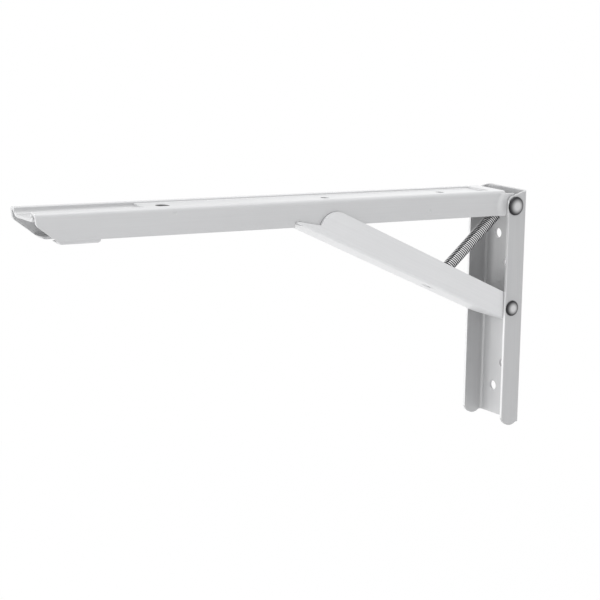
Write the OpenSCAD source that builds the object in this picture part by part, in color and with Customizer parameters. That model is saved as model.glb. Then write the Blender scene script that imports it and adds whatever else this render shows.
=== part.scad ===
// Folding shelf bracket: a U-shaped wall plate, a pressed channel arm that folds down
// against it, a channel strut that props the arm, three pivot rivets and a tension spring.
// Millimetres. The back of the wall plate lies at y = 0, the arm points along -Y and +Z is up.
// The channels nest when folded: arm inside strut inside wall plate.

/* [Sheet] */
// Thickness of the pressed sheet
sheet = 1.7; // [1.5:0.1:1.8]
// Outside radius of the long bends of the arm and strut
bend_r = 2.7; // [2.5:0.1:3]
// Outside radius of the wall plate's bends
plate_bend_r = 3.4; // [3:0.1:3.4]

/* [Wall plate] */
// Width over the two flanges
plate_w = 40; // [40:0.5:41]
// Height of the plate
plate_h = 157.6; // [155:0.2:162]
// Depth of the flanges from the wall
plate_d = 16.1; // [16:0.1:17]
// Diameter of the four screw holes
screw_hole_d = 6.5; // [5:0.5:7]
// Sideways stagger of the screw holes
screw_stagger = 4.6; // [3:0.1:6]
// Sideways shift of all four screw holes
screw_shift = -2; // [-3:0.5:2]

/* [Pivots] */
// Distance between the upper and the lower pivot
pivot_spacing = 68; // [66:0.5:70]
// Distance of both pivots from the wall
pivot_back = 10.5; // [10.5:0.1:10.8]
// Height of the plate above the upper pivot
pivot_drop = 9.6; // [9:0.1:10]
// Diameter of the upper pivot pin
top_pin_d = 6; // [5.5:0.1:6.2]
// Diameter of the lower pivot shanks
low_pin_d = 5; // [4.5:0.1:5.2]

/* [Arm] */
// Length of the arm beyond the upper pivot
arm_len = 342; // [320:1:350]
// Width over the arm's flanges
arm_w = 31.7; // [31.2:0.1:31.7]
// Height of the shelf face above the pivot
arm_top = 9.7; // [9.5:0.1:9.9]
// Depth of the flanges below the pivot
arm_bottom = 6.5; // [6.3:0.1:6.5]
// Angle by which the unloaded arm stands above level
arm_rise = 2; // [1:0.5:2.5]
// Depth of the shallow groove pressed along the arm
groove_d = 1.4; // [1.2:0.1:1.6]
// Depth of the deeper recess round the slot at the front
recess_d = 4; // [3.6:0.1:4]
// Width of each rim beside the groove
rim_w = 4.6; // [4.2:0.1:5]

/* [Strut] */
// Width over the strut's flanges
strut_w = 35.9; // [35.9:0.1:36]
// Distance of the strut's outer web face below its pivot
strut_web = 8.6; // [8.4:0.1:8.6]
// Angle of the strut above level
strut_rise = 25.1; // [24.9:0.1:25.2]
// Length of the strut from its pivot to the tip of the flanges
strut_len = 183.4; // [182.6:0.2:183.6]

/* [Spring] */
// Outside diameter of the spring
spring_d = 8; // [7:0.5:8]
// Diameter of the spring wire
wire_d = 1.2; // [1:0.1:1.2]
// Number of coils
coils = 40; // [30:1:42]
// Distance of the spring from the middle plane
spring_x = 9; // [8.8:0.1:9.2]

/* [Hidden] */
$fn = 96;
sliver = 0.01;

plate_top = plate_h / 2;
top_pivot = [0, -pivot_back, plate_top - pivot_drop];
low_pivot = top_pivot - [0, 0, pivot_spacing];
plate_in = plate_w / 2 - sheet;
arm_out = arm_w / 2;
arm_in = arm_out - sheet;
strut_out = strut_w / 2;
strut_in = strut_out - sheet;
fit_gap = 0.05;

// The pivot ears are pressed outwards until they almost touch the wall plate's flanges.
ear_x = plate_in - 0.3;
ear_r = 9;
ear_slope_r = 13.5;
ear_end_r = 7.7;
arm_web_start = 5.5;

// Screw holes of the wall plate as distances below the upper pivot, each with its side.
screw_holes = [[-1, 22.3], [1, 41.2], [1, 110.1], [-1, 127.3]];

// Holes along the arm's groove as distances beyond the upper pivot.
arm_holes = [47.5, 138, 253];
arm_hole_d = 5.5;
countersink_d = 8.6;
countersink_h = 1;
arm_slot = [277, 10, 5];

groove_half = arm_out - rim_w - groove_d / 2;
groove_start = 12;
recess_start = 266;
recess_r = 2;

// The strut's web is caught by a notch in the lower edges of the arm's flanges.
notch_end = 170.1;
notch_gap = 0.6;
web_cut = 4.7;

tab_at = 60;
tab_hole_d = 3;
tab_hole_v = -3.6;

steel = [0.80, 0.81, 0.82];
bright = [0.90, 0.90, 0.91];

// A turn about the X axis that leans an outward direction up by the given angle.
function lean(p, a) = [p[0], p[1] * cos(a) + p[2] * sin(a), p[2] * cos(a) - p[1] * sin(a)];
function unit(v) = v / norm(v);

// A point of the strut's side seen in the arm's own frame.
function strut_in_arm(q, v) = let (a = strut_rise - arm_rise) [
    q * cos(a) - v * sin(a) - pivot_spacing * sin(arm_rise),
    q * sin(a) + v * cos(a) - pivot_spacing * cos(arm_rise)
];

// Places children given along -Y on a pivot and leans them up.
module on_pivot(pivot, rise) {
    translate(pivot)
        rotate([-rise, 0, 0])
            children();
}

// Extrudes an outline drawn as (distance outwards, height) across the width of the bracket.
module across(half) {
    translate([half, 0, 0])
        rotate([90, 0, -90])
            linear_extrude(2 * half)
                children();
}

// Extrudes an outline drawn as (side, height) along the outward direction.
module along(from, to) {
    translate([0, -from, 0])
        rotate([90, 0, 0])
            linear_extrude(to - from)
                children();
}

module pair() {
    children();
    mirror([1, 0, 0])
        children();
}

module rod_x(d, from, to) {
    translate([from, 0, 0])
        rotate([0, 90, 0])
            cylinder(d = d, h = to - from);
}

// A rectangle from (x0, y0) to (x1, y1).
module block(x0, y0, x1, y1) {
    translate([x0, y0])
        square([x1 - x0, y1 - y0]);
}

// A rectangle whose two upper corners are round.
module round_top(half, low, high, r) {
    block(-half, low, half, high - r);
    block(-half + r, high - r - 1, half - r, high);
    for (side = [-1, 1])
        translate([side * (half - r), high - r])
            circle(r);
}

// The bent sheet of a channel with its web on top, open below.
module channel(half, low, high, r = bend_r) {
    difference() {
        round_top(half, low, high, r);
        round_top(half - sheet, low - 1, high - sheet, r - sheet);
    }
}

/* Wall plate */

// What a round corner takes off a square one; inwards points from the corner to its centre.
module corner_off(corner, inwards, r) {
    centre = corner + r * inwards;
    outer = corner - inwards;
    difference() {
        block(min(outer[0], centre[0]), min(outer[1], centre[1]),
            max(outer[0], centre[0]), max(outer[1], centre[1]));
        translate(centre)
            circle(r);
    }
}

module plate_side() {
    front = plate_d;
    foot_r = plate_d / 2 - 0.4;
    web_foot = -plate_top + 1.6;
    crown_r = 4.5;
    crown = plate_top - 2.7;
    difference() {
        polygon([
            [0, plate_top],
            [5, plate_top - 0.9],
            [front - crown_r, crown],
            [front, crown],
            [front, -plate_top],
            [front - 2 * foot_r, -plate_top],
            [front - 2 * foot_r, web_foot],
            [0, web_foot]
        ]);
        corner_off([front, crown], [-1, -1], crown_r);
        corner_off([front, -plate_top], [-1, 1], foot_r);
        intersection() {
            corner_off([front - 2 * foot_r, -plate_top], [1, 1], foot_r);
            block(0, -plate_top - 2, foot_r, web_foot);
        }
    }
}

module wall_plate() {
    color(steel)
        difference() {
            intersection() {
                translate([0, 0, -plate_top])
                    linear_extrude(plate_h)
                        translate([0, -plate_d])
                            channel(plate_w / 2, -1, plate_d, plate_bend_r);
                across(plate_w / 2)
                    plate_side();
            }
            across(plate_in - plate_bend_r + sheet)
                block(-1, -plate_top - 1, plate_d + 1, -plate_top + 1.6);
            translate([0, top_pivot[1], top_pivot[2]])
                rod_x(top_pin_d + 0.04, -plate_w, plate_w);
            translate([0, low_pivot[1], low_pivot[2]])
                rod_x(low_pin_d + 0.04, -plate_w, plate_w);
            for (h = screw_holes)
                translate([h[0] * screw_stagger + screw_shift, 1, top_pivot[2] - h[1]])
                    rotate([90, 0, 0])
                        cylinder(d = screw_hole_d, h = sheet + 2);
        }
}

/* Arm */

// The side of the arm: distance beyond the pivot, height above it.
module arm_side() {
    difference() {
        union() {
            polygon([
                [arm_web_start, arm_top],
                [arm_len, arm_top],
                [arm_len - 1.2, 3.4],
                [arm_len - 2.4, 1.8],
                [arm_len - 12.4, -5.2],
                [arm_len - 14, -arm_bottom],
                [0, -arm_bottom],
                [0, ear_end_r],
                [arm_web_start, ear_end_r]
            ]);
            circle(ear_end_r);
        }
        strut_notch();
    }
}

// The notch stops the strut's web with a step and clears the web's slope behind it.
module strut_notch() {
    face = -strut_web + sheet + notch_gap;
    low = strut_in_arm(155, face);
    high = strut_in_arm(181, face);
    polygon([low, high, [notch_end, high[1] - 0.5], [notch_end, low[1]]]);
}

// The groove cut into the shelf face: round floor corners, round shoulders.
module groove_section() {
    r = groove_d / 2;
    middle = arm_top - r;
    block(-groove_half, middle, groove_half, arm_top + 1);
    block(-groove_half + r, middle - r, groove_half - r, middle + 1);
    for (side = [-1, 1]) {
        translate([side * (groove_half - r), middle])
            circle(r);
        difference() {
            block(groove_half * side - (side < 0 ? r : 0), middle,
                groove_half * side + (side > 0 ? r : 0), arm_top + 1);
            translate([side * (groove_half + r), middle])
                circle(r);
        }
    }
}

// The same curves along the arm, where the groove runs out before the pivot.
module groove_run() {
    r = groove_d / 2;
    middle = arm_top - r;
    block(groove_start, middle, arm_len + 1, arm_top + 1);
    block(groove_start + r, middle - r, arm_len + 1, middle + 1);
    translate([groove_start + r, middle])
        circle(r);
    difference() {
        block(groove_start - r, middle, groove_start, arm_top + 1);
        translate([groove_start - r, middle])
            circle(r);
    }
}

module arm_groove() {
    intersection() {
        along(groove_start - groove_d, arm_len + 1)
            groove_section();
        across(arm_out)
            groove_run();
    }
}

// A U outline with round lower corners, open above.
module trough(half, low, high, r) {
    block(-half, low + r, half, high);
    block(-half + r, low, half - r, high);
    for (side = [-1, 1])
        translate([side * (half - r), low + r])
            circle(r);
}

// The deeper recess at the front, with a round start like the groove's.
module recess(grow) {
    low = arm_top - recess_d - grow;
    start = recess_start - grow;
    r = recess_r + grow;
    intersection() {
        along(start - 1, arm_len + 1)
            trough(groove_half + grow, low, arm_top - groove_d + 0.5 - grow, r);
        across(arm_out)
            union() {
                block(start, low + r, arm_len + 1, arm_top + 1);
                block(start + r, low, arm_len + 1, low + r + 1);
                translate([start + r, low + r])
                    circle(r);
            }
    }
}

// The underside of the groove, one sheet thickness below it.
module arm_groove_back() {
    r = groove_d / 2 + sheet;
    half = groove_half - groove_d / 2;
    low = arm_top - groove_d - sheet;
    along(groove_start - sheet, arm_len)
        intersection() {
            union() {
                block(-half, low, half, low + r);
                for (side = [-1, 1])
                    translate([side * half, low + r])
                        circle(r);
            }
            block(-arm_in, low - 1, arm_in, arm_top - sheet + 0.5);
        }
}

// A pressed ear: a flat round boss with a sloping skirt, dished out of the flange.
module ear() {
    rotate([0, 90, 0])
        rotate_extrude()
            polygon([
                [0, ear_x - sheet],
                [ear_r - 0.7, ear_x - sheet],
                [ear_slope_r - 0.7, arm_in],
                [ear_slope_r + sliver, arm_in],
                [ear_slope_r + sliver, arm_out],
                [ear_slope_r, arm_out],
                [ear_r, ear_x],
                [0, ear_x]
            ]);
}

module ear_outline() {
    circle(ear_end_r);
    block(0, -arm_bottom, ear_slope_r + 1, arm_top - 1.6);
}

// The lip turned in from the lower edge of each flange near the front, its front end cut askew.
module arm_lip() {
    from = 301;
    to = 328;
    reach = 9;
    drop = arm_bottom + 2.4;
    corner = 3;
    intersection() {
        along(from, to)
            difference() {
                intersection() {
                    mirror([0, 1])
                        round_top(arm_out, 0, drop, bend_r);
                    block(arm_out - reach, -drop - 1, arm_out, -arm_bottom + 1);
                }
                mirror([0, 1])
                    round_top(arm_in, -1, drop - sheet, bend_r - sheet);
            }
        translate([0, 0, -drop - 1])
            linear_extrude(drop + 2)
                union() {
                    block(arm_out - reach + corner, -to, arm_out, -from);
                    block(arm_out - reach, -to + corner, arm_out, -from - corner);
                    for (y = [-to + corner, -from - corner])
                        translate([arm_out - reach + corner, y])
                            circle(corner);
                }
        across(arm_out)
            polygon([[from, 0], [to, 0], [to, -arm_bottom], [to - 3.4, -drop], [from + 1, -drop],
                [from, -drop + 1.2]]);
    }
}

module shelf_arm() {
    color(steel)
        on_pivot(top_pivot, arm_rise)
            difference() {
                union() {
                    difference() {
                        intersection() {
                            along(-ear_end_r, arm_len)
                                channel(arm_out, -ear_end_r, arm_top);
                            across(arm_out)
                                arm_side();
                        }
                        along(-ear_end_r - 1, arm_web_start)
                            block(-arm_in, arm_top - 4, arm_in, arm_top + 1);
                        pair()
                            rod_x(2 * ear_slope_r, arm_in - sliver, arm_out + 1);
                        arm_groove();
                    }
                    pair()
                        intersection() {
                            ear();
                            across(ear_x)
                                ear_outline();
                        }
                    intersection() {
                        along(arm_web_start, ear_slope_r + 2)
                            channel(arm_out, arm_top - bend_r - 0.4, arm_top);
                        across(arm_out)
                            arm_side();
                    }
                    difference() {
                        union() {
                            arm_groove_back();
                            intersection() {
                                recess(sheet);
                                across(arm_out)
                                    arm_side();
                            }
                        }
                        arm_groove();
                    }
                    pair()
                        arm_lip();
                }
                pair()
                    rod_x(top_pin_d + 2 * fit_gap, arm_in - 1, ear_x + 1);
                for (s = arm_holes)
                    translate([0, -s, 0])
                        cylinder(d = arm_hole_d, h = arm_top + 1);
                translate([0, -arm_holes[2], arm_top - groove_d - countersink_h])
                    cylinder(d1 = arm_hole_d, d2 = countersink_d, h = countersink_h);
                recess(0);
                linear_extrude(arm_top + 1)
                    slot_outline();
                for (p = [[253.6, 5.9], [67.6, -1.1]])
                    pair()
                        translate([arm_out + 2.6, -p[0], p[1]])
                            sphere(3, $fn = 48);
            }
}

module slot_outline() {
    half = (arm_slot[1] - arm_slot[2]) / 2;
    block(-arm_slot[2] / 2, -arm_slot[0] - half, arm_slot[2] / 2, -arm_slot[0] + half);
    for (end = [-half, half])
        translate([0, -arm_slot[0] + end])
            circle(d = arm_slot[2]);
}

/* Strut */

// The side of the strut: distance beyond its pivot, height above it.
module strut_side() {
    nose_r = 12;
    nose = 166.3;
    nose_top = 9.2;
    heel_r = 7.7;
    circle(heel_r);
    polygon([[0, heel_r], [nose - nose_r, nose_top], [nose - nose_r, -strut_web], [0, -strut_web]]);
    intersection() {
        translate([nose - nose_r, nose_top - nose_r])
            circle(nose_r);
        block(nose - nose_r - 1, -strut_web, nose, nose_top);
    }
    polygon([
        [nose - nose_r, -strut_web],
        [nose - nose_r, nose_top - nose_r],
        [nose, nose_top - nose_r],
        [nose, -3.4],
        [strut_len, -strut_web + 1.4],
        [strut_len, -strut_web]
    ]);
}

module strut_tab() {
    tab_r = 4;
    translate([spring_x - sheet / 2, 0, 0])
        rotate([90, 0, 90])
            linear_extrude(sheet)
                mirror([1, 0])
                    difference() {
                        union() {
                            translate([tab_at, tab_hole_v])
                                circle(tab_r);
                            block(tab_at - tab_r, -strut_web + sheet / 2, tab_at + tab_r, tab_hole_v);
                        }
                        translate([tab_at, tab_hole_v])
                            circle(d = tab_hole_d);
                    }
}

module strut() {
    web_end = strut_len - web_cut;
    color(steel)
        on_pivot(low_pivot, strut_rise)
            difference() {
                union() {
                    difference() {
                        intersection() {
                            along(-9, strut_len)
                                mirror([0, 1])
                                    channel(strut_out, -11, strut_web);
                            across(strut_out)
                                strut_side();
                        }
                        along(-10, 0)
                            block(-strut_in, -strut_web - 1, strut_in, -strut_web + sheet + 1);
                        along(web_end, strut_len + 1)
                            block(-strut_in, -strut_web - 1, strut_in, 0);
                        along(tab_at - 4.4, tab_at + 4.4)
                            block(spring_x - 8.2, -strut_web - 1, spring_x - sheet / 2, -strut_web + sheet + 1);
                    }
                    strut_tab();
                }
                pair()
                    union() {
                        rod_x(low_pin_d + 2 * fit_gap, strut_in - 1, strut_out + 1);
                        translate([strut_in - sliver, 0, 0])
                            rotate([0, 90, 0])
                                cylinder(d1 = low_pin_d + 2.2, d2 = low_pin_d + 2 * fit_gap, h = 1.1);
                    }
            }
}

/* Rivets */

// A domed head on the outer face of the plate's flange, its axis along X.
module rivet_head(r, h) {
    ball = (r * r + h * h) / (2 * h);
    rotate([0, 90, 0])
        rotate_extrude()
            intersection() {
                translate([0, h - ball])
                    circle(ball);
                block(0, 0, r, h);
            }
}

module top_pivot_rivet() {
    color(bright)
        translate(top_pivot) {
            rod_x(top_pin_d, -plate_w / 2 - 1, plate_w / 2 + 1);
            pair()
                translate([plate_w / 2, 0, 0])
                    rivet_head(6.1, 2.2);
        }
}

module lower_rivet() {
    inner = strut_in + 0.1;
    translate(low_pivot) {
        rod_x(low_pin_d, inner, plate_w / 2 + 1);
        translate([inner, 0, 0])
            rotate([0, 90, 0])
                cylinder(d1 = low_pin_d + 1.7, d2 = low_pin_d, h = 0.85);
        translate([plate_w / 2, 0, 0])
            rivet_head(5.1, 1.8);
    }
}

module lower_rivet_right() {
    color(bright)
        lower_rivet();
}

module lower_rivet_left() {
    color(bright)
        mirror([1, 0, 0])
            lower_rivet();
}

/* Spring */

loop_r = top_pin_d / 2 + 0.9;
coil_r = (spring_d - wire_d) / 2;
pin_point = [spring_x, top_pivot[1], top_pivot[2]];
tab_point = low_pivot + lean([spring_x, -tab_at, tab_hole_v], strut_rise);
spring_len = norm(tab_point - pin_point) - 0.8;
spring_dir = unit(tab_point - pin_point);
spring_side = unit(cross([1, 0, 0], spring_dir));
coil_from = 9;
coil_to = spring_len - 9;

// A point of the spring, from its distance along the axis, its radius and its angle.
function spring_point(d, r, a) = pin_point + d * spring_dir
    + r * (cos(a) * [1, 0, 0] + sin(a) * spring_side);

// Rings of points around a path, carried along it without twist, closed into a tube.
function carried(path, i, n) = let (t = unit(path[i + 1] - path[i])) unit(n - (n * t) * t);
function tube_frames(path, n0) = [
    for (i = 0, n = carried(path, 0, n0); i < len(path);
        i = i + 1, n = i < len(path) - 1 ? carried(path, i, n) : n)
        n
];

module tube(path, d, sides, n0) {
    count = len(path);
    frames = tube_frames(path, n0);
    points = [
        for (i = [0:count - 1])
            let (
                t = unit(path[min(i + 1, count - 1)] - path[max(i - 1, 0)]),
                n = unit(frames[i] - (frames[i] * t) * t),
                b = cross(t, n)
            )
            for (k = [0:sides - 1])
                path[i] + d / 2 * (cos(360 * k / sides) * n + sin(360 * k / sides) * b)
    ];
    faces = [
        [for (k = [0:sides - 1]) k],
        for (i = [0:count - 2])
            for (k = [0:sides - 1])
                let (a = i * sides + k, b = i * sides + (k + 1) % sides)
                [a, a + sides, b + sides, b],
        [for (k = [0:sides - 1]) count * sides - 1 - k]
    ];
    polyhedron(points, faces, convexity = 10);
}

// The side hook round the pin, the bend into the first coil and the coils themselves.
module spring() {
    side = pin_point + [coil_r, 0, 0];
    hook = [
        for (a = [-75:15:180])
            side + loop_r * (cos(a) * spring_side - sin(a) * spring_dir)
    ];
    lead = [
        for (a = [0:15:75])
            side + (coil_from - loop_r) * spring_dir
                + loop_r * (sin(a) * spring_dir - cos(a) * spring_side)
    ];
    turns = [
        for (i = [0:coils * 10])
            spring_point(coil_from + (coil_to - coil_from) * i / (coils * 10), coil_r, 36 * i)
    ];
    color(bright)
        tube(concat(hook, lead, turns), wire_d, 5, [1, 0, 0]);
}

// The loop that passes through the hole of the strut's tab.
module spring_hook() {
    end_r = coil_r;
    centre = spring_len - end_r;
    from = coil_to + 0.75 * wire_d;
    swing = [
        for (k = [0:3])
            let (f = k / 4)
            pin_point + (from + (centre - end_r * 0.94 - from) * f) * spring_dir
                + [coil_r * (1 - 0.66 * f), 0, 0]
    ];
    loop = [
        for (a = [-160:20:140])
            pin_point + (centre + end_r * cos(a)) * spring_dir - [end_r * sin(a), 0, 0]
    ];
    color(bright)
        tube(concat(swing, loop), wire_d, 8, spring_side);
}

wall_plate();
shelf_arm();
strut();
top_pivot_rivet();
lower_rivet_right();
lower_rivet_left();
spring();
spring_hook();
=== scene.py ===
# %% [markdown]
# # A folding shelf bracket
#
# The real object is a bracket of pressed stainless sheet. A U-shaped plate is screwed to the wall,
# a channel-shaped arm hinges on it and carries the shelf, and a second channel, the strut, props
# the arm from below. A tension spring pulls the strut into its notch. The lesson loads the exact
# solids, cleans the surface of the sheet parts, turns the rivet heads, winds the spring, and then
# makes brushed steel for all of it.

# %% Load the frame
import bpy
import math
from mathutils import Euler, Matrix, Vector


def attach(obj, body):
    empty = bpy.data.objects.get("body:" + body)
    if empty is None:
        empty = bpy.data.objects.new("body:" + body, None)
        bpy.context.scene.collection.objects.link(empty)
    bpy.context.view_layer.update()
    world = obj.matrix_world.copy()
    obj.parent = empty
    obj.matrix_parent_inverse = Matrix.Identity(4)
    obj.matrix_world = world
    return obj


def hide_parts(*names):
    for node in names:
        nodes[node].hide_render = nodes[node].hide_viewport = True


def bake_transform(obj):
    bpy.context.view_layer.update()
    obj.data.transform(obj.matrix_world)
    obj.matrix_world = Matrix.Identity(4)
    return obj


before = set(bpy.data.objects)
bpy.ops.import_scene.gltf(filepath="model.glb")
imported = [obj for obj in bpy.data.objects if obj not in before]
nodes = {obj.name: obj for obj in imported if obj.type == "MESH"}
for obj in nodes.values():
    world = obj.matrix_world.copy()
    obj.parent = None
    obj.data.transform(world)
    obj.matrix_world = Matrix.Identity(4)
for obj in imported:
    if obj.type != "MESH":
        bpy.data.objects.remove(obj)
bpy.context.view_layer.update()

# %% [markdown]
# Everything is in metres, and the parts of a bracket are small, so sizes are written in
# millimetres and turned into metres with `mm`. An operator acts on whatever is selected, and the
# loaded solids arrive selected, so each step starts by selecting nothing.

# %% Small helpers for selecting
mm = 0.001


def select_nothing():
    if bpy.context.object and bpy.context.object.mode != "OBJECT":
        bpy.ops.object.mode_set(mode="OBJECT")
    bpy.ops.object.select_all(action="DESELECT")


def select_only(piece):
    select_nothing()
    piece.select_set(True)
    bpy.context.view_layer.objects.active = piece


select_nothing()
print("selected objects:", len(bpy.context.selected_objects))

# %% [markdown]
# Three more helpers serve every piece: one adds a modifier and applies it at once, one counts the
# triangles of the result, and one gives a piece its only material.

# %% Small helpers for finishing a piece
def apply_modifier(piece, kind, **settings):
    select_only(piece)
    bpy.ops.object.modifier_add(type=kind)
    modifier = piece.modifiers[-1]
    for name, value in settings.items():
        setattr(modifier, name, value)
    bpy.ops.object.modifier_apply(modifier=modifier.name)


def triangles(piece):
    piece.data.calc_loop_triangles()
    return len(piece.data.loop_triangles)


def dress(piece, material):
    piece.data.materials.clear()
    piece.data.materials.append(material)


print("triangles of the solids:", sum(triangles(node) for node in nodes.values()))

# %% [markdown]
# ## The camera
#
# The photograph looks at the bracket from its open side and a little from above. The camera's
# place, turn and lens come from matching some sixty edges and corners of the bracket with the
# photograph. It is built first, so that every later step can be compared with the picture.

# %% Camera
CAMERA_PLACE = (0.88872, -0.77130, 0.24712)
CAMERA_TURN = [math.radians(angle) for angle in (78.065, -0.746, 55.884)]
CAMERA_LENS = 106.826

bpy.ops.object.camera_add(location=CAMERA_PLACE, rotation=CAMERA_TURN)
camera = bpy.context.object
camera.name = "photo_camera"
camera.data.lens = CAMERA_LENS
camera.data.clip_start = 10 * mm
bpy.context.scene.camera = camera
print("lens:", round(camera.data.lens, 1), "mm")

# %% [markdown]
# ## Pressed sheet
#
# The solids arrive as loose triangles, exact but shaded flat. Each sheet part is a copy of its
# solid whose doubled points are merged and whose flat areas are joined into single faces. Bends
# then shade smoothly while cut edges stay crisp, and weighted normals keep the large faces flat
# up to the bends. The copy stands for the solid and moves with the same body. The rolled edges of
# real sheet are only a quarter of a millimetre wide, so they are left to the material.

# %% Copy a sheet part and clean its surface
SAME_POINT = 0.002 * mm
SAME_PLANE = math.radians(0.3)
SHEET_CREASE = math.radians(32)
LARGE_FACE_WEIGHT = 80


def pressed_sheet(node_name, body):
    piece = bpy.data.objects.new(node_name + "_sheet", nodes[node_name].data.copy())
    bpy.context.scene.collection.objects.link(piece)
    select_only(piece)
    bpy.ops.object.mode_set(mode="EDIT")
    bpy.ops.mesh.select_all(action="SELECT")
    bpy.ops.mesh.remove_doubles(threshold=SAME_POINT)
    bpy.ops.mesh.dissolve_limited(angle_limit=SAME_PLANE)
    bpy.ops.object.mode_set(mode="OBJECT")
    bpy.ops.object.shade_smooth_by_angle(angle=SHEET_CREASE)
    apply_modifier(piece, "WEIGHTED_NORMAL", keep_sharp=True, weight=LARGE_FACE_WEIGHT)
    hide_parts(node_name)
    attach(piece, body)
    print(piece.name, "has", triangles(piece), "triangles")
    return piece


wall_plate = pressed_sheet("wall_plate", "wall_plate")
shelf_arm = pressed_sheet("shelf_arm", "arm")
strut = pressed_sheet("strut", "strut")

# %% [markdown]
# ## Rivets
#
# The pivots are turned steel pins whose ends are set into domed heads. A turned part is a stack
# of circles along its axis. The helper adds one circle, then extrudes and scales it from station
# to station, as if the profile were followed with a lathe tool.

# %% Turn a part along X from a list of stations
PIVOT_Y = -10.5 * mm
TOP_Z = 69.2 * mm
LOW_Z = 1.2 * mm
ALONG_X = (0, math.radians(90), 0)
RIVET_SIDES = 64
RIVET_CREASE = math.radians(35)


def turned(name, stations, z):
    """stations: (x, radius) pairs in millimetres, from one end to the other."""
    (x, r), rest = stations[0], stations[1:]
    select_nothing()
    bpy.ops.mesh.primitive_circle_add(
        vertices=RIVET_SIDES, radius=r * mm, fill_type="NGON",
        location=(x * mm, PIVOT_Y, z), rotation=ALONG_X)
    piece = bpy.context.object
    piece.name = name
    bpy.ops.object.transform_apply(location=True, rotation=True, scale=True)
    bpy.ops.object.mode_set(mode="EDIT")
    bpy.ops.mesh.select_all(action="SELECT")
    for next_x, next_r in rest:
        bpy.ops.mesh.extrude_region_move(
            TRANSFORM_OT_translate={"value": ((next_x - x) * mm, 0, 0)})
        grow = next_r / r
        bpy.ops.transform.resize(value=(1, grow, grow), center_override=(next_x * mm, PIVOT_Y, z))
        x, r = next_x, next_r
    bpy.ops.mesh.select_all(action="SELECT")
    bpy.ops.mesh.normals_make_consistent(inside=False)
    bpy.ops.object.mode_set(mode="OBJECT")
    bpy.ops.object.shade_smooth_by_angle(angle=RIVET_CREASE)
    return piece


print("upper pivot in mm:", round(PIVOT_Y / mm, 1), round(TOP_Z / mm, 1))

# %% [markdown]
# A set head rises from the plate's side with a short upright rim, then a tight shoulder and a
# shallow dome. The dome is a quarter of an ellipse, a little fuller at the shoulder, and ends in a
# tiny flat. The mirrored stations give the head on the other side.

# %% The profile of a rivet head
RIM_SHARE = 0.16
FULLNESS = 0.9
FLAT_SHARE = 0.02
DOME_STEPS = 9


def dome(base_x, r, h):
    rim = RIM_SHARE * h
    profile = [(base_x, r), (base_x + rim, r)]
    for i in range(1, DOME_STEPS + 1):
        a = math.radians(90 * i / DOME_STEPS)
        rise = (h - rim) * math.sin(a) ** FULLNESS
        profile.append((base_x + rim + rise, max(r * math.cos(a), FLAT_SHARE * r)))
    return profile


def mirrored(stations):
    return [(-x, r) for x, r in reversed(stations)]


print("dome stations:", DOME_STEPS + 2)

# %% [markdown]
# The upper pivot is one pin through the whole bracket with a head on both sides. The lower pivots
# are two short rivets, one in each flange, so that the folded arm can pass between them. Their
# inner ends are flared to hold the strut.

# %% The three rivets, with their sizes in millimetres
PLATE_SIDE_X = 20
NECK_X = 19.9
TOP_PIN_R, TOP_HEAD_R, TOP_HEAD_H = 3, 6.1, 2.2
LOW_PIN_R, LOW_HEAD_R, LOW_HEAD_H = 2.5, 5.1, 1.8
FLARE_X, FLARE_R, FLARE_END_X = 16.35, 3.35, 17.2

top_head = dome(PLATE_SIDE_X, TOP_HEAD_R, TOP_HEAD_H)
top_pin = [(-NECK_X, TOP_PIN_R), (NECK_X, TOP_PIN_R)]
top_rivet = turned("upper_pivot_rivet", mirrored(top_head) + top_pin + top_head, TOP_Z)
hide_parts("top_pivot_rivet")

low_pin = [(FLARE_X, FLARE_R), (FLARE_END_X, LOW_PIN_R), (NECK_X, LOW_PIN_R)]
low_profile = low_pin + dome(PLATE_SIDE_X, LOW_HEAD_R, LOW_HEAD_H)
right_rivet = turned("lower_pivot_rivet_right", low_profile, LOW_Z)
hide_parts("lower_rivet_right")
left_rivet = turned("lower_pivot_rivet_left", mirrored(low_profile), LOW_Z)
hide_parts("lower_rivet_left")

rivets = [top_rivet, right_rivet, left_rivet]
for rivet in rivets:
    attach(rivet, "wall_plate")
print("rivets:", [(r.name, triangles(r)) for r in rivets])

# %% [markdown]
# ## The spring
#
# A tension spring is wire wound in touching turns, with a hook at each end. In the open bracket it
# is already pulled a little, so its turns stand just apart. It is made upright with its pivot end
# at the origin: a small circle, which is the wire's section, is wound by a Screw modifier, and the
# two hooks are bent from the ends of the wire by spinning that section round one bend centre after
# another. At the end the whole spring is laid into its place.

# %% Wind the coil
COIL_R = 3.4 * mm
WIRE_R = 0.6 * mm
WIRE_SIDES = 10
TURNS = 40
STEPS_PER_TURN = 22
COIL_START = 9 * mm
COIL_END = 62.44 * mm

select_nothing()
bpy.ops.mesh.primitive_circle_add(
    vertices=WIRE_SIDES, radius=WIRE_R, fill_type="NOTHING",
    location=(COIL_R, 0, COIL_START), rotation=(math.radians(90), 0, 0))
spring = bpy.context.object
spring.name = "tension_spring"
bpy.ops.object.transform_apply(location=True, rotation=True, scale=True)
apply_modifier(spring, "SCREW", axis="Z", angle=math.radians(360), iterations=TURNS,
               screw_offset=(COIL_END - COIL_START) / TURNS,
               steps=STEPS_PER_TURN, render_steps=STEPS_PER_TURN,
               use_merge_vertices=False, use_smooth_shade=True)
print("coil:", triangles(spring), "triangles")

# %% [markdown]
# Each bend takes the open end of the wire, found by its distance from the place where the wire
# last stopped. `wire_end` selects that ring of points, `bend` spins it about a centre, and
# `run_straight` draws it out in a line.

# %% Bend the pivot hook
LOOP_R = 3.9 * mm
PIVOT_LOOP_TURN = 255
JUST_OVER_WIRE_R = 1.05 * WIRE_R


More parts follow.
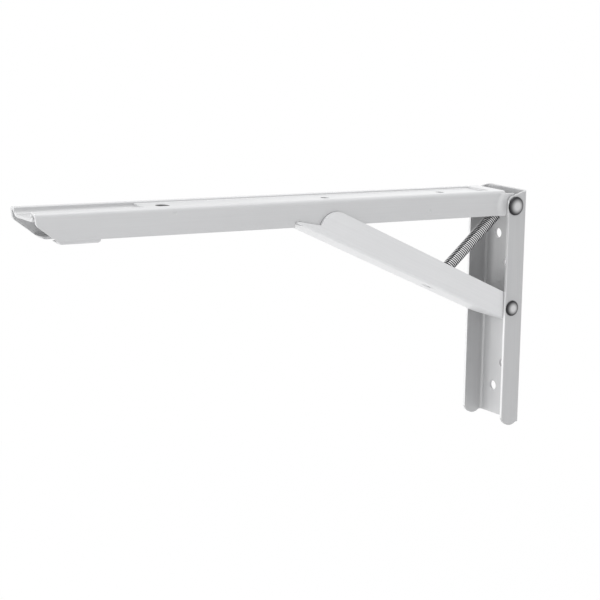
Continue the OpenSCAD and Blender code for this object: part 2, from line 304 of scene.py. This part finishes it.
def wire_end(x, y, z):
    bpy.ops.object.mode_set(mode="OBJECT")
    spot = Vector((x, y, z))
    for vertex in spring.data.vertices:
        vertex.select = (vertex.co - spot).length < JUST_OVER_WIRE_R
    for edge in spring.data.edges:
        edge.select = all(spring.data.vertices[v].select for v in edge.vertices)
    for face in spring.data.polygons:
        face.select = False
    bpy.ops.object.mode_set(mode="EDIT")


def bend(center, axis, degrees, steps):
    bpy.ops.mesh.spin(steps=steps, angle=math.radians(degrees), center=center, axis=axis)


def run_straight(*way):
    bpy.ops.mesh.extrude_region_move(TRANSFORM_OT_translate={"value": way})


select_only(spring)
bpy.ops.object.mode_set(mode="EDIT")
bpy.ops.mesh.select_mode(type="VERT")
wire_end(COIL_R, 0, COIL_START)
bend((COIL_R, 0, COIL_START - LOOP_R), (1, 0, 0), 90, steps=8)
run_straight(0, 0, LOOP_R - COIL_START)
bend((COIL_R, 0, 0), (1, 0, 0), PIVOT_LOOP_TURN, steps=20)
print("after the pivot hook:", len(spring.data.vertices), "points")

# %% [markdown]
# The far hook starts with a tighter bend and loops the other way round, across the coil, so that
# it can pass through the hole in the strut's tab. The two open ends of the wire are then closed
# with a face each.

# %% Bend the far hook and close the wire's ends
EASE = 1.4 * mm
EYE_Z = 68.04 * mm
EYE_TURN = 215

wire_end(COIL_R, 0, COIL_END)
bend((COIL_R, 0, COIL_END + EASE), (1, 0, 0), 90, steps=6)
run_straight(0, -EASE, EYE_Z - COIL_END - EASE)
bend((0, 0, EYE_Z), (0, -1, 0), EYE_TURN, steps=18)
bpy.ops.mesh.select_all(action="SELECT")
bpy.ops.mesh.remove_doubles(threshold=SAME_POINT)
bpy.ops.mesh.select_non_manifold(extend=False)
bpy.ops.mesh.edge_face_add()
bpy.ops.mesh.select_all(action="SELECT")
bpy.ops.mesh.normals_make_consistent(inside=False)
bpy.ops.object.mode_set(mode="OBJECT")
points = [v.co for v in spring.data.vertices]
for axis, name in enumerate("xyz"):
    print("spring in mm,", name, [round(f(p[axis] for p in points) / mm, 1) for f in (min, max)])

# %% [markdown]
# The finished spring is turned from upright to its working slope and hung on the upper pin. It
# hangs a third of a degree flatter than the solid spring, within the play of the hook in its hole,
# so that the folded coil clears the strut's web.

# %% Hang the spring
SPRING_X = 9 * mm
BELOW_LEVEL = 39.02
SPRING_SLOPE = math.radians(90 + BELOW_LEVEL)
WIRE_CREASE = math.radians(60)

spring.location = (SPRING_X, PIVOT_Y, TOP_Z)
spring.rotation_euler = (SPRING_SLOPE, 0, 0)
select_only(spring)
bpy.ops.object.transform_apply(location=True, rotation=True, scale=True)
bpy.ops.object.shade_smooth_by_angle(angle=WIRE_CREASE)

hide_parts("spring", "spring_hook")
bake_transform(spring)

# %% [markdown]
# ## Node helpers
#
# Materials, floor and surround are all made of shader nodes. These helpers add a node, fill a
# socket with either a plain value or another node's output, and find a node that is already there.

# %% Add, fill and find nodes
def add(tree, kind, **settings):
    node = tree.nodes.new(kind)
    for name, value in settings.items():
        setattr(node, name, value)
    return node


def fill(tree, socket, value):
    if isinstance(value, bpy.types.NodeSocket):
        tree.links.new(value, socket)
    else:
        socket.default_value = value


def add_filled(tree, kind, values, **settings):
    """values: name or number of a socket -> the value or output that fills it."""
    node = add(tree, kind, **settings)
    for key, value in values.items():
        fill(tree, node.inputs[key], value)
    return node


def find(tree, node_type):
    return next(node for node in tree.nodes if node.type == node_type)


print("node helpers:", [f.__name__ for f in (add, fill, add_filled, find)])

# %% [markdown]
# A few nodes come back again and again: arithmetic, a soft step between two values, and a blend of
# two colours or of two shaders. Each gets a helper that returns its output.

# %% Steps and blends
def math_node(tree, operation, *values):
    numbered = dict(enumerate(values))
    return add_filled(tree, "ShaderNodeMath", numbered, operation=operation).outputs[0]


def soft_step(tree, value, start, end, low=0, high=1):
    """Goes from low to high while the value goes from start to end."""
    return add_filled(tree, "ShaderNodeMapRange",
                      {"Value": value, "From Min": start, "From Max": end,
                       "To Min": low, "To Max": high},
                      interpolation_type="SMOOTHSTEP").outputs["Result"]


def blend_colours(tree, share, first, second):
    return add_filled(tree, "ShaderNodeMix", {"Factor": share, "A": first, "B": second},
                      data_type="RGBA").outputs["Result"]


def blend_shaders(tree, share, first, second):
    return add_filled(tree, "ShaderNodeMixShader", {0: share, 1: first, 2: second}).outputs[0]


print("blend helpers:", [f.__name__ for f in (math_node, soft_step, blend_colours, blend_shaders)])

# %% [markdown]
# A node group needs its sockets declared before it can be filled. This helper makes the group, its
# sockets and its two end nodes.

# %% Start a node group
def start_group(name, inputs, outputs):
    """inputs and outputs: socket name -> kind of socket (Vector, Color or Float)."""
    group = bpy.data.node_groups.new(name, "ShaderNodeTree")
    for side, sockets in (("INPUT", inputs), ("OUTPUT", outputs)):
        for socket, kind in sockets.items():
            group.interface.new_socket(socket, in_out=side, socket_type="NodeSocket" + kind)
    return group, add(group, "NodeGroupInput").outputs, add(group, "NodeGroupOutput").inputs


print("groups so far:", len(bpy.data.node_groups))

# %% [markdown]
# ## Brushed steel
#
# Sheet for fittings is brushed with an abrasive belt before it is pressed. The belt leaves fine
# scratches that run one way and a few broader streaks, and handling leaves soft clouds. One node
# group makes all of that from noise stretched along one direction. It puts out the steel's colour,
# its roughness and the height of the scratches, and every brushed material uses it.

# %% The brushed grain group
FINE_SCRATCHES = (1700, 1700, 22)
BROAD_STREAKS = (240, 240, 4)
HAND_MARKS = (28, 28, 19)
FINE_SHARE = 0.6
NOISE_ROUGHNESS = 0.55


def stretched_noise(tree, vector, scale, detail=3):
    """Noise on coordinates multiplied by (x, y, z), so that it can be long along one of them."""
    stretch = add_filled(tree, "ShaderNodeVectorMath", {0: vector, 1: scale}, operation="MULTIPLY")
    return add_filled(tree, "ShaderNodeTexNoise",
                      {"Vector": stretch.outputs[0], "Scale": 1, "Detail": detail,
                       "Roughness": NOISE_ROUGHNESS}).outputs["Fac"]


def make_grain_group():
    group, given, result = start_group(
        "brushed_grain",
        {"Along Z": "Vector", "Steel": "Color", "Grain": "Float", "Roughness": "Float",
         "Handling": "Float"},
        {"Color": "Color", "Roughness": "Float", "Height": "Float"})
    fine = stretched_noise(group, given["Along Z"], FINE_SCRATCHES)
    broad = stretched_noise(group, given["Along Z"], BROAD_STREAKS, detail=2)
    hands = stretched_noise(group, given["Along Z"], HAND_MARKS)
    streak = math_node(group, "ADD", math_node(group, "MULTIPLY", fine, FINE_SHARE),
                       math_node(group, "MULTIPLY", broad, 1 - FINE_SHARE))
    centred = math_node(group, "SUBTRACT", streak, 0.5)
    handled = math_node(group, "SUBTRACT", hands, 0.5)
    grain = math_node(group, "MULTIPLY", centred, given["Grain"])
    handling = math_node(group, "MULTIPLY", handled, given["Handling"])
    shade = math_node(group, "SUBTRACT", math_node(group, "ADD", 1.0, grain), handling)
    rough = math_node(group, "ADD", math_node(group, "ADD", given["Roughness"], grain), handling)
    tint = add_filled(group, "ShaderNodeVectorMath", {0: given["Steel"], "Scale": shade},
                      operation="SCALE")
    fill(group, result["Color"], tint.outputs[0])
    fill(group, result["Roughness"], rough)
    fill(group, result["Height"], streak)
    return group


grain_group = make_grain_group()
print("group nodes:", len(grain_group.nodes))

# %% [markdown]
# A brushed material needs to know which way its scratches run. The group stretches its noise
# along Z, so a Mapping node turns the piece's own coordinates until the grain direction is Z: the
# plate's grain is upright already, the arm's and the strut's run along those parts. A Bevel node
# rounds the shading of the sheet's edges by a quarter of a millimetre.

# %% Make a brushed material
SCRATCH_DEPTH = 0.05 * mm
ROLLED_EDGE = 0.25 * mm
EDGE_SAMPLES = 6
HANDLING = 0.06


def brushed_steel(name, steel, grain_angle, grain=0.16, roughness=0.46, bump=0.06, metallic=0.4):
    """grain_angle: degrees from upright, leaning out from the wall."""
    material = bpy.data.materials.new(name)
    material.use_nodes = True
    tree = material.node_tree
    where = add(tree, "ShaderNodeTexCoord")
    turn = add_filled(tree, "ShaderNodeMapping",
                      {"Vector": where.outputs["Object"],
                       "Rotation": (math.radians(-grain_angle), 0, 0)})
    brushed = add_filled(tree, "ShaderNodeGroup",
                         {"Along Z": turn.outputs["Vector"], "Steel": (*steel, 1), "Grain": grain,
                          "Roughness": roughness, "Handling": HANDLING}, node_tree=grain_group)
    rolled = add_filled(tree, "ShaderNodeBevel", {"Radius": ROLLED_EDGE}, samples=EDGE_SAMPLES)
    relief = add_filled(tree, "ShaderNodeBump",
                        {"Strength": bump, "Distance": SCRATCH_DEPTH,
                         "Height": brushed.outputs["Height"], "Normal": rolled.outputs["Normal"]})
    shader = tree.nodes["Principled BSDF"]
    for socket, value in (("Metallic", metallic), ("Base Color", brushed.outputs["Color"]),
                          ("Roughness", brushed.outputs["Roughness"]),
                          ("Normal", relief.outputs["Normal"])):
        fill(tree, shader.inputs[socket], value)
    return material


print("rolled edge:", round(ROLLED_EDGE / mm, 2), "mm")

# %% [markdown]
# The three sheet parts are the same steel, but their greys are painted light: the plate is painted
# darkest and the strut lightest, standing in for how light and the brushing direction brighten
# each part. The grain of the arm and the strut leans with the slope at which they stand in the
# open bracket.

# %% Dress the sheet parts
ARM_RISE = 2
STRUT_RISE = 25.1
# Painted light: one steel, lit and shaded into three greys.
PLATE_GREY = (0.55, 0.551, 0.553)
ARM_GREY = (0.63, 0.631, 0.633)
STRUT_GREY = (0.77, 0.771, 0.773)

plate_steel = brushed_steel("plate_steel", PLATE_GREY, 0, grain=0.22)
arm_steel = brushed_steel("arm_steel", ARM_GREY, 90 - ARM_RISE)
strut_steel = brushed_steel("strut_steel", STRUT_GREY, 90 - STRUT_RISE)
for piece, material in ((wall_plate, plate_steel), (shelf_arm, arm_steel), (strut, strut_steel)):
    dress(piece, material)
print("sheet materials:", [m.name for m in (plate_steel, arm_steel, strut_steel)])

# %% [markdown]
# Turned and wound parts are not shaded alike all over, so light and shade are painted into their
# colour. A rivet head gets a painted highlight in the middle and painted shade in the shoulder
# round it, and a spring gets painted shade between its turns and a painted highlight on their
# outside. Both go by the distance from an axis, so one group blends two colours by that distance.

# %% The group that shades by distance from an axis
def make_radius_group():
    group, given, result = start_group(
        "shade_by_radius",
        {"Around Z": "Vector", "Inside": "Color", "Outside": "Color", "From": "Float",
         "To": "Float"},
        {"Color": "Color"})
    flat = add_filled(group, "ShaderNodeVectorMath", {0: given["Around Z"], 1: (1, 1, 0)},
                      operation="MULTIPLY")
    radius = add_filled(group, "ShaderNodeVectorMath", {0: flat.outputs[0]}, operation="LENGTH")
    share = soft_step(group, radius.outputs["Value"], given["From"], given["To"])
    fill(group, result["Color"], blend_colours(group, share, given["Inside"], given["Outside"]))
    return group


radius_group = make_radius_group()
print("group nodes:", len(radius_group.nodes))

# %% [markdown]
# A Mapping node brings the axis of the piece onto Z: it is given the turn that lays Z along the
# axis, undone, and the place of the axis, also undone. The blended colour then takes the place of
# the material's plain steel.

# %% Shade a material round an axis
def shade_around(material, origin, turn, inside, outside, start, end):
    """origin and turn place the axis; the colour goes from inside to outside between two radii."""
    tree = material.node_tree
    undo = Euler(turn).to_matrix().inverted()
    axis = add_filled(tree, "ShaderNodeMapping",
                      {"Vector": find(tree, "TEX_COORD").outputs["Object"],
                       "Rotation": undo.to_euler(), "Location": -(undo @ Vector(origin))})
    grain = find(tree, "GROUP")
    shade = add_filled(tree, "ShaderNodeGroup",
                       {"Around Z": axis.outputs["Vector"], "Inside": (*inside, 1),
                        "Outside": (*outside, 1), "From": start, "To": end},
                       node_tree=radius_group)
    fill(tree, grain.inputs["Steel"], shade.outputs["Color"])


def turned_steel(name, roughness, *axis_and_colours):
    """A polished material whose colour goes by the distance from an axis, as shade_around says."""
    any_steel = (0.7, 0.7, 0.7)
    material = brushed_steel(name, any_steel, 0, grain=0.06, roughness=roughness, bump=0.02,
                             metallic=1.0)
    shade_around(material, *axis_and_colours)
    return material


print("materials:", len(bpy.data.materials))

# %% [markdown]
# The rivet heads go from a painted highlight in the middle to painted shade at the shoulder. The
# spring goes the other way, from painted shade between its turns to a painted highlight over their
# outermost quarter of a millimetre. The solids that the pieces stand for are hidden, and get a
# steel too, so that nothing is left without a material.

# %% Dress the rivets and the spring
# Painted highlight in the middle of a rivet head and painted shade in its shoulder.
HEAD_PAINTED_HIGHLIGHT = (0.60, 0.60, 0.605)
HEAD_PAINTED_SHADE = (0.04, 0.04, 0.042)
# Painted shade between the spring's turns and a painted highlight on their outside.
COIL_PAINTED_SHADE = (0.025, 0.025, 0.027)
COIL_PAINTED_HIGHLIGHT = (0.85, 0.85, 0.86)
HEAD_ROUGHNESS = 0.3
WIRE_ROUGHNESS = 0.22
TOP_HEAD_RADII = (1.6 * mm, 5.7 * mm)
LOW_HEAD_RADII = (1.3 * mm, 4.8 * mm)
COIL_RADII = (3.72 * mm, 4.0 * mm)

top_head_steel = turned_steel("top_head_steel", HEAD_ROUGHNESS, (0, PIVOT_Y, TOP_Z), ALONG_X,
                              HEAD_PAINTED_HIGHLIGHT, HEAD_PAINTED_SHADE, *TOP_HEAD_RADII)
low_head_steel = turned_steel("low_head_steel", HEAD_ROUGHNESS, (0, PIVOT_Y, LOW_Z), ALONG_X,
                              HEAD_PAINTED_HIGHLIGHT, HEAD_PAINTED_SHADE, *LOW_HEAD_RADII)
spring_steel = turned_steel("spring_steel", WIRE_ROUGHNESS, (SPRING_X, PIVOT_Y, TOP_Z),
                            (SPRING_SLOPE, 0, 0), COIL_PAINTED_SHADE, COIL_PAINTED_HIGHLIGHT, *COIL_RADII)
for piece, material in ((top_rivet, top_head_steel), (right_rivet, low_head_steel),
                        (left_rivet, low_head_steel), (spring, spring_steel)):
    dress(piece, material)
for name, node in nodes.items():
    dress(node, spring_steel if name.startswith("spring") else plate_steel)
print("turned materials:", [m.name for m in (top_head_steel, low_head_steel, spring_steel)])

# %% [markdown]
# The same blend paints shade into the countersink of the screw hole near the arm's front. The axis
# of the hole stands square to the arm, so it leans by the arm's rise.

# %% Paint shade into the countersunk hole
HOLE_FROM_PIVOT = 253 * mm
# Painted shade inside the countersink.
HOLE_PAINTED_SHADE = (0.06, 0.06, 0.062)
COUNTERSINK_RADII = (4.0 * mm, 4.5 * mm)

rise = math.radians(ARM_RISE)
hole = (0, PIVOT_Y - HOLE_FROM_PIVOT * math.cos(rise), TOP_Z + HOLE_FROM_PIVOT * math.sin(rise))
shade_around(arm_steel, hole, (-rise, 0, 0), HOLE_PAINTED_SHADE, ARM_GREY, *COUNTERSINK_RADII)
print("the hole's axis passes through", [round(c / mm, 1) for c in hole], "mm")

# %% [markdown]
# The plate's front edges catch the light, and a painted highlight stands in for that: a mask on
# the distance from the wall turns the steel brighter over the last half millimetre.

# %% Paint a highlight on the plate's front edges
PLATE_FRONT_Y = -16.1 * mm
HIGHLIGHT_START = PLATE_FRONT_Y + 0.5 * mm
HIGHLIGHT_END = PLATE_FRONT_Y + 0.15 * mm
# Painted highlight on the plate's front edges.
EDGE_PAINTED_HIGHLIGHT = (0.78, 0.78, 0.78)

tree = plate_steel.node_tree
split = add_filled(tree, "ShaderNodeSeparateXYZ", {0: find(tree, "TEX_COORD").outputs["Object"]})
edge_highlight_share = soft_step(tree, split.outputs["Y"], HIGHLIGHT_START, HIGHLIGHT_END)
edge_highlight_steel = blend_colours(tree, edge_highlight_share, (*PLATE_GREY, 1), (*EDGE_PAINTED_HIGHLIGHT, 1))
fill(tree, find(tree, "GROUP").inputs["Steel"], edge_highlight_steel)
print("rubbed from", round(HIGHLIGHT_START / mm, 2), "to", round(HIGHLIGHT_END / mm, 2), "mm")

# %% [markdown]
# ## Floor, white surround and studio light
#
# The photograph has a pure white ground. The world is white only to rays from the camera and to
# reflections, so the metal mirrors a white studio while the light that falls on it stays at a
# plain level.

# %% World
WHITE = (1, 1, 1, 1)
AMBIENT_COLOUR = (0.96, 0.97, 1, 1)
AMBIENT_LEVEL = 0.6


def seen_directly(tree):
    """One where a ray comes from the camera, a reflection or a see-through material."""
    path = add(tree, "ShaderNodeLightPath").outputs
    seen = math_node(tree, "MAXIMUM", path["Is Camera Ray"], path["Is Glossy Ray"])
    return math_node(tree, "MAXIMUM", seen, path["Is Transmission Ray"])


world = bpy.data.worlds.new("white_studio")
bpy.context.scene.world = world
world.use_nodes = True
tree = world.node_tree
surround = tree.nodes["Background"]
surround.inputs["Color"].default_value = AMBIENT_COLOUR
surround.inputs["Strength"].default_value = AMBIENT_LEVEL
white = add_filled(tree, "ShaderNodeBackground", {"Color": WHITE, "Strength": 1})
studio = blend_shaders(tree, seen_directly(tree), surround.outputs[0], white.outputs[0])
fill(tree, tree.nodes["World Output"].inputs["Surface"], studio)
print("ambient level:", AMBIENT_LEVEL)

# %% [markdown]
# The bracket hangs on a wall, so the floor lies well below it. Its paper glows white to the same
# rays as the world. Close to the bracket a small share of it stays plain paper, which keeps a
# shadow, and that share fades to nothing further out, where the floor meets the white surround.

# %% Floor
FLOOR_SIZE = 12
FLOOR_Z = -0.30
PAPER = (0.92, 0.92, 0.92, 1)
PAPER_ROUGHNESS = 0.9
FADE_START, FADE_END = 0.2, 0.8
NEAR_GLOW = 0.95

select_nothing()
bpy.ops.mesh.primitive_plane_add(size=FLOOR_SIZE, location=(0, 0, FLOOR_Z))
floor = bpy.context.object
floor.name = "studio_floor"
paper = bpy.data.materials.new("pale_paper")
paper.use_nodes = True
tree = paper.node_tree
matte = tree.nodes["Principled BSDF"]
matte.inputs["Base Color"].default_value = PAPER
matte.inputs["Roughness"].default_value = PAPER_ROUGHNESS
glow = add_filled(tree, "ShaderNodeEmission", {"Strength": 1})
where = add(tree, "ShaderNodeTexCoord").outputs["Object"]
reach = add_filled(tree, "ShaderNodeVectorMath", {0: where}, operation="LENGTH").outputs["Value"]
share = math_node(tree, "MULTIPLY", seen_directly(tree),
                  soft_step(tree, reach, FADE_START, FADE_END, NEAR_GLOW, 1))
glowing = blend_shaders(tree, share, matte.outputs[0], glow.outputs[0])
fill(tree, tree.nodes["Material Output"].inputs["Surface"], glowing)
floor.data.materials.append(paper)
print("floor at", floor.location.z, "m")

# %% [markdown]
# Four soft boxes make the light: a broad one overhead that brightens the shelf face, one in front
# of the wall plate, a weak one behind it, and a very weak one on the camera's side that reaches
# between the plate's flanges. All are aimed at the middle of the bracket.

# %% Lamps
MIDDLE = Vector((0, -0.15, 0.02))


def softbox(name, location, size, watts):
    select_nothing()
    bpy.ops.object.light_add(type="AREA", location=location)
    lamp = bpy.context.object
    lamp.name = name
    lamp.data.size = size
    lamp.data.energy = watts
    lamp.rotation_euler = (MIDDLE - lamp.location).to_track_quat("-Z", "Y").to_euler()
    return lamp


lamps = [softbox("overhead", (0.1, -0.3, 1.5), size=1.6, watts=13),
         softbox("front", (-0.4, -1.6, 0.35), size=1.2, watts=13.5),
         softbox("behind", (-0.9, 1.1, 0.8), size=1.2, watts=2.8),
         softbox("beside", (0.6, -0.2, 0.2), size=0.5, watts=0.2)]
print("lamps:", [(lamp.name, round(lamp.data.energy, 1)) for lamp in lamps])

# %% [markdown]
# The picture is shown without any film curve.

# %% Colour management
bpy.context.scene.view_settings.view_transform = "Standard"
